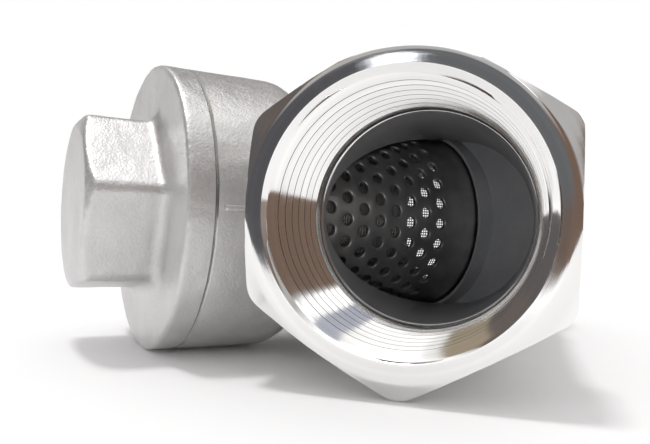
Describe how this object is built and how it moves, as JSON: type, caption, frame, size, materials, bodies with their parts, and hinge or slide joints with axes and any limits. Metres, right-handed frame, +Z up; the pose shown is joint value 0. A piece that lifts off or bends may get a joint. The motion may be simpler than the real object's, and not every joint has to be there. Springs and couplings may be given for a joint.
{
  "type": "threaded y strainer",
  "caption": "Y-shaped pipe strainer with hexagonal threaded ends and an angled branch whose screw cap holds a perforated tubular screen.",
  "frame": {"origin": "centre of the bounding box on the surface that the strainer lies on", "axes": "+Z up; the pipe axis runs along Y with the outlet facing -Y and the inlet facing +Y; the branch points to -X and -Y at 45 degrees"},
  "size_m": [0.0758, 0.0902, 0.0418],
  "materials": {
    "cast_steel": "bead-blasted investment casting with bright turned faces, bores and threads",
    "cap_steel": "bead-blasted investment casting with a turned shank",
    "sheet_steel": "punched sheet, dull",
    "wire_steel": "woven wire cloth",
    "seal_white": "smooth fluoroplastic"
  },
  "bodies": {
    "housing": {"body": "cast_steel"},
    "basket": {"screen_tube": "sheet_steel", "screen_mesh": "wire_steel"},
    "seal": {"gasket": "seal_white"},
    "cleanout": {"cap": "cap_steel"}
  },
  "joints": [
    {"name": "screen_pull", "type": "slide", "parent": "housing", "child": "basket", "axis": [-0.7071, -0.7071, 0], "range_m": [0, 0.05]},
    {"name": "cap_travel", "type": "slide", "parent": "basket", "child": "seal", "axis": [-0.7071, -0.7071, 0], "range_m": [0, 0.0094]},
    {"name": "cap_turn", "type": "hinge", "parent": "seal", "child": "cleanout", "pos_m": [-0.02022, -0.02747, 0.0209], "axis": [-0.7071, -0.7071, 0], "range_deg": [0, 2250]}
  ],
  "couplings": [
    {"joint": "cap_travel", "follows": "cap_turn", "m_per_rad": 0.00023873}
  ]
}
